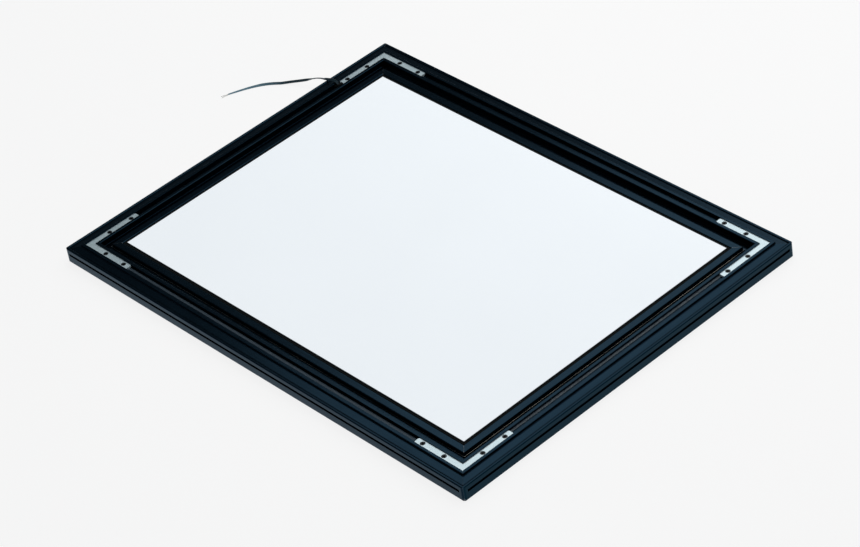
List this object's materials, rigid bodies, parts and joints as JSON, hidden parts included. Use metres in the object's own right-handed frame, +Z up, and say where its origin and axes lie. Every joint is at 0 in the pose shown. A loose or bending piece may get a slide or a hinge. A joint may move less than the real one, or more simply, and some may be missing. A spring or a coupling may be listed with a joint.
{
  "type": "light table",
  "caption": "Slim edge-lit light table: flush opal panel in a mitred black aluminium frame, with corner brackets on its face and a short flying lead.",
  "frame": {"origin": "on the surface it stands on, under the middle of the panel", "axes": "+X across the short side, +Y along the long side towards the side that the lead leaves, +Z up"},
  "size_m": [0.3784, 0.5752, 0.0184],
  "materials": {
    "frame": "satin black anodised aluminium with fine extrusion lines",
    "bezel": "satin black anodised glazing bead",
    "bracket": "bright zinc plate, faintly brushed",
    "grub_screw": "black oxide steel",
    "opal_panel": "opal acrylic, satin, lit from inside",
    "film": "matt diffuser film",
    "light_guide": "clear polished acrylic",
    "reflector": "white reflector sheet",
    "foam": "grey closed-cell foam",
    "back_cover": "mill finish sheet",
    "led_strip": "white circuit board with LEDs",
    "thermal_tape": "grey thermal tape",
    "rubber": "matt black rubber",
    "black_wire": "black flexible insulation, low sheen",
    "red_wire": "red flexible insulation, low sheen",
    "tinned_wire": "tinned stranded copper"
  },
  "bodies": {
    "root": {"back_cover": "back_cover", "bezel_back": "bezel", "bezel_front": "bezel", "bezel_left": "bezel", "bezel_right": "bezel", "corner_bracket_back_left": "bracket", "corner_bracket_back_right": "bracket", "corner_bracket_front_left": "bracket", "corner_bracket_front_right": "bracket", "diffuser_film": "film", "diffuser_panel": "opal_panel", "feed_wire": "black_wire", "foam_pad": "foam", "frame_back": "frame", "frame_front": "frame", "frame_left": "frame", "frame_right": "frame", "gasket_back": "rubber", "gasket_front": "rubber", "gasket_left": "rubber", "gasket_right": "rubber", "grub_screw_back_left_1": "grub_screw", "grub_screw_back_left_2": "grub_screw", "grub_screw_back_left_3": "grub_screw", "grub_screw_back_left_4": "grub_screw", "grub_screw_back_right_1": "grub_screw", "grub_screw_back_right_2": "grub_screw", "grub_screw_back_right_3": "grub_screw", "grub_screw_back_right_4": "grub_screw", "grub_screw_front_left_1": "grub_screw", "grub_screw_front_left_2": "grub_screw", "grub_screw_front_left_3": "grub_screw", "grub_screw_front_left_4": "grub_screw", "grub_screw_front_right_1": "grub_screw", "grub_screw_front_right_2": "grub_screw", "grub_screw_front_right_3": "grub_screw", "grub_screw_front_right_4": "grub_screw", "lead_end_negative": "tinned_wire", "lead_end_positive": "tinned_wire", "led_strip_left": "led_strip", "led_strip_right": "led_strip", "light_guide": "light_guide", "link_wire_negative": "black_wire", "link_wire_positive": "red_wire", "power_lead": "black_wire", "reflector_sheet": "reflector", "rubber_pad_back_left": "rubber", "rubber_pad_back_right": "rubber", "rubber_pad_front_left": "rubber", "rubber_pad_front_right": "rubber", "strain_relief": "rubber", "thermal_tape_left": "thermal_tape", "thermal_tape_right": "thermal_tape"}
  },
  "joints": []
}
